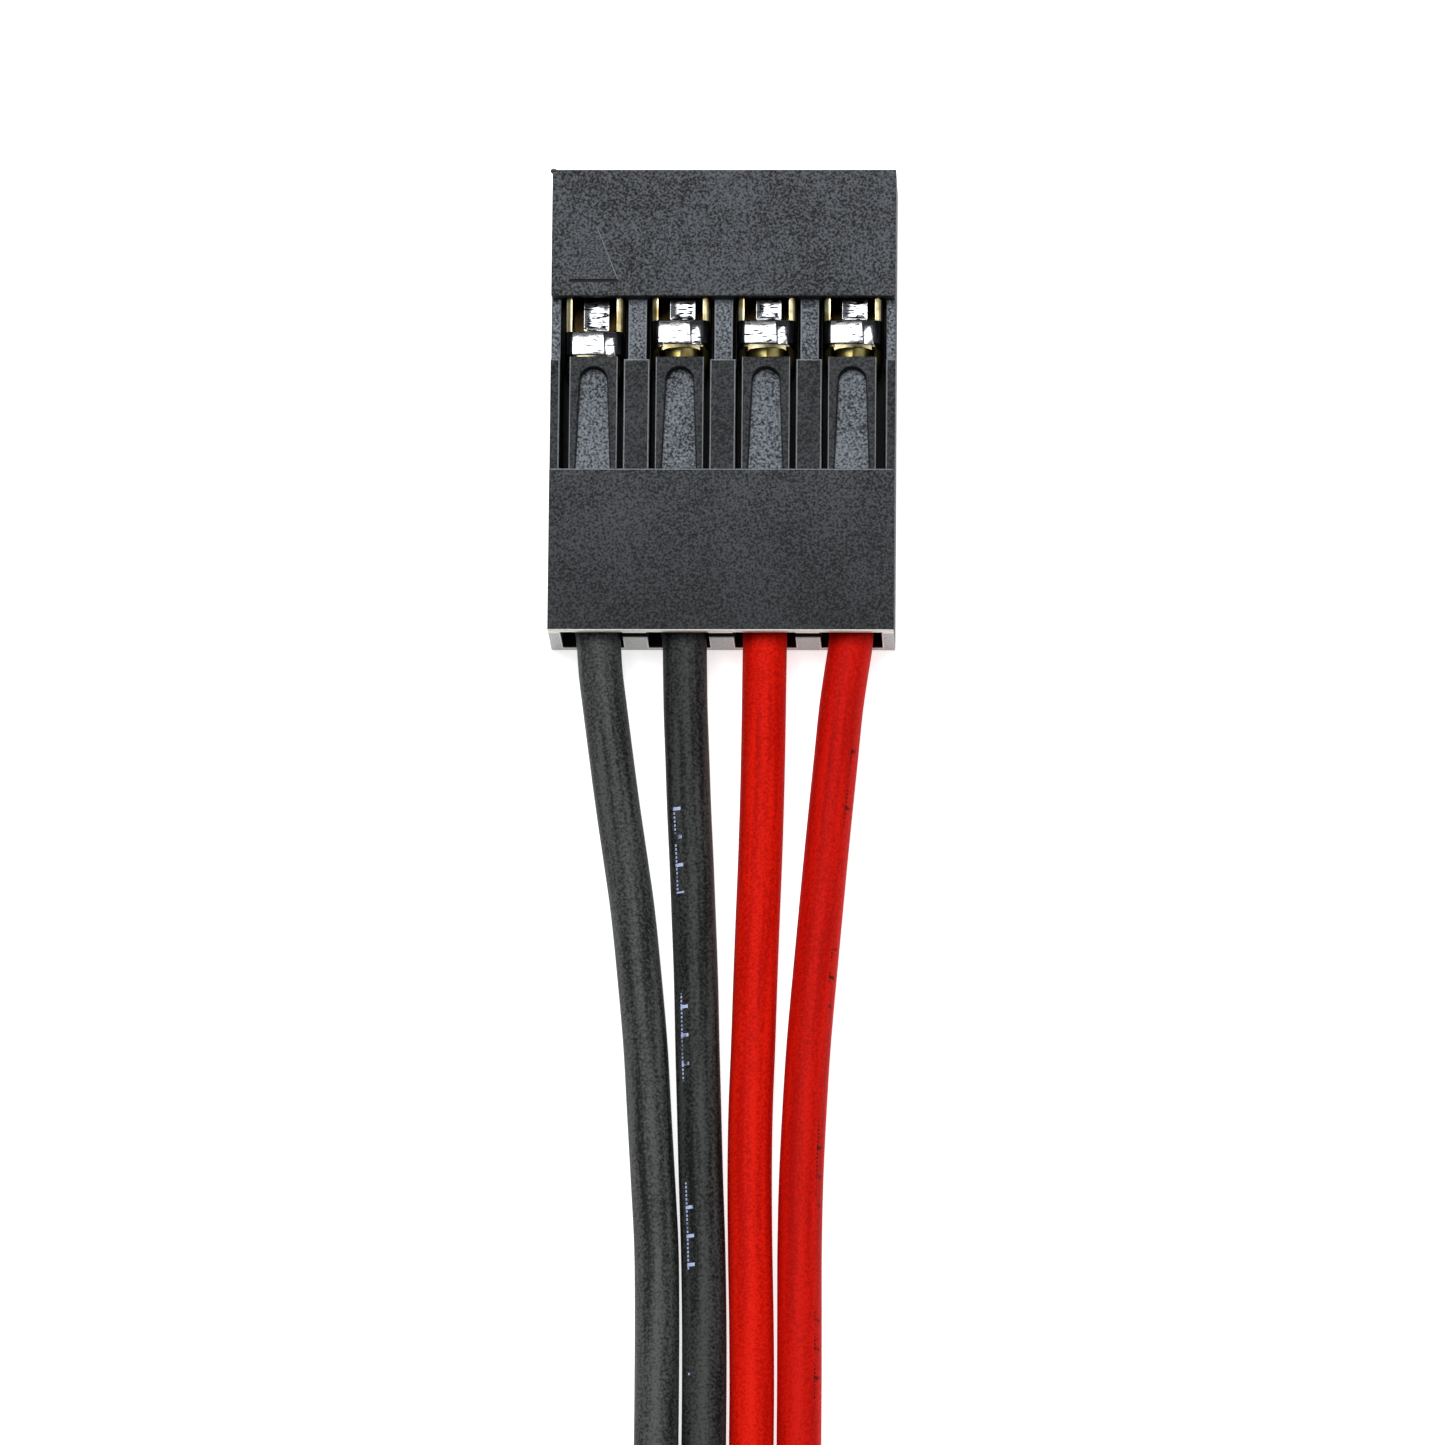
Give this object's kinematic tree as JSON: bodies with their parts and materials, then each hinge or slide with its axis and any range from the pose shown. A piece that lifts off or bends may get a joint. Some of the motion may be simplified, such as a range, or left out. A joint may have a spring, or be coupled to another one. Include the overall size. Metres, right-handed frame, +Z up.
{
  "type": "wire-to-board crimp connector lead",
  "caption": "Black single-row crimp connector with open contact windows and sprung latch fingers, wired to thin black and red leads.",
  "frame": {"origin": "under the middle of the housing, on the surface that the connector lies on", "axes": "+Y out of the mating face, +X across the ways from way 1 to way 4, +Z up through the contact windows"},
  "size_m": [0.0224, 0.0666, 0.0055],
  "materials": {
    "black_pbt": "moulded glass-filled PBT, fine matt grain",
    "gold_plate": "gold-plated phosphor bronze sheet, stamped and formed",
    "stainless": "bright rolled stainless spring sheet",
    "copper": "bare copper strands",
    "tinned": "tinned copper strands",
    "black_pvc": "extruded soft PVC, satin",
    "red_pvc": "extruded soft PVC, satin",
    "tie_pvc": "flat plastic ribbon with a wire core"
  },
  "bodies": {
    "housing": {"housing": "black_pbt", "lead_1": "black_pvc", "lead_2": "black_pvc", "lead_3": "red_pvc", "lead_4": "red_pvc", "lead_tip_1": "tinned", "lead_tip_2": "tinned", "lead_tip_3": "tinned", "lead_tip_4": "tinned", "lead_coil": "black_pvc", "coil_tie": "tie_pvc"},
    "latch_1": {"latch_finger_1": "black_pbt"},
    "latch_2": {"latch_finger_2": "black_pbt"},
    "latch_3": {"latch_finger_3": "black_pbt"},
    "latch_4": {"latch_finger_4": "black_pbt"},
    "contact_1": {"contact_body_1": "gold_plate", "contact_clip_1": "stainless", "conductor_1": "copper", "crimped_lead_1": "black_pvc"},
    "contact_2": {"contact_body_2": "gold_plate", "contact_clip_2": "stainless", "conductor_2": "copper", "crimped_lead_2": "black_pvc"},
    "contact_3": {"contact_body_3": "gold_plate", "contact_clip_3": "stainless", "conductor_3": "copper", "crimped_lead_3": "red_pvc"},
    "contact_4": {"contact_body_4": "gold_plate", "contact_clip_4": "stainless", "conductor_4": "copper", "crimped_lead_4": "red_pvc"},
    "tongue_1": {"spring_tongue_1": "stainless"},
    "tongue_2": {"spring_tongue_2": "stainless"},
    "tongue_3": {"spring_tongue_3": "stainless"},
    "tongue_4": {"spring_tongue_4": "stainless"}
  },
  "joints": [
    {"name": "latch_1_flex", "type": "hinge", "parent": "housing", "child": "latch_1", "pos_m": [-0.00381, -0.0021, 0.00242], "axis": [1, 0, 0], "range_deg": [0, 9], "stiffness_Nm_per_rad": 0.02},
    {"name": "latch_2_flex", "type": "hinge", "parent": "housing", "child": "latch_2", "pos_m": [-0.00127, -0.0021, 0.00242], "axis": [1, 0, 0], "range_deg": [0, 9], "stiffness_Nm_per_rad": 0.02},
    {"name": "latch_3_flex", "type": "hinge", "parent": "housing", "child": "latch_3", "pos_m": [0.00127, -0.0021, 0.00242], "axis": [1, 0, 0], "range_deg": [0, 9], "stiffness_Nm_per_rad": 0.02},
    {"name": "latch_4_flex", "type": "hinge", "parent": "housing", "child": "latch_4", "pos_m": [0.00381, -0.0021, 0.00242], "axis": [1, 0, 0], "range_deg": [0, 9], "stiffness_Nm_per_rad": 0.02},
    {"name": "contact_1_float", "type": "slide", "parent": "housing", "child": "contact_1", "axis": [0, 1, 0], "range_m": [0, 0.00035]},
    {"name": "contact_2_float", "type": "slide", "parent": "housing", "child": "contact_2", "axis": [0, 1, 0], "range_m": [-0.00035, 0]},
    {"name": "contact_3_float", "type": "slide", "parent": "housing", "child": "contact_3", "axis": [0, 1, 0], "range_m": [-0.00035, 0]},
    {"name": "contact_4_float", "type": "slide", "parent": "housing", "child": "contact_4", "axis": [0, 1, 0], "range_m": [-0.00035, 0]},
    {"name": "tongue_1_flex", "type": "hinge", "parent": "contact_1", "child": "tongue_1", "pos_m": [-0.00374, 0.00215, 0.00211], "axis": [1, 0, 0], "range_deg": [0, 3], "stiffness_Nm_per_rad": 0.02},
    {"name": "tongue_2_flex", "type": "hinge", "parent": "contact_2", "child": "tongue_2", "pos_m": [-0.0012, 0.0025, 0.00211], "axis": [1, 0, 0], "range_deg": [0, 3], "stiffness_Nm_per_rad": 0.02},
    {"name": "tongue_3_flex", "type": "hinge", "parent": "contact_3", "child": "tongue_3", "pos_m": [0.00134, 0.0025, 0.00211], "axis": [1, 0, 0], "range_deg": [0, 3], "stiffness_Nm_per_rad": 0.02},
    {"name": "tongue_4_flex", "type": "hinge", "parent": "contact_4", "child": "tongue_4", "pos_m": [0.00388, 0.0025, 0.00211], "axis": [1, 0, 0], "range_deg": [0, 3], "stiffness_Nm_per_rad": 0.02}
  ]
}
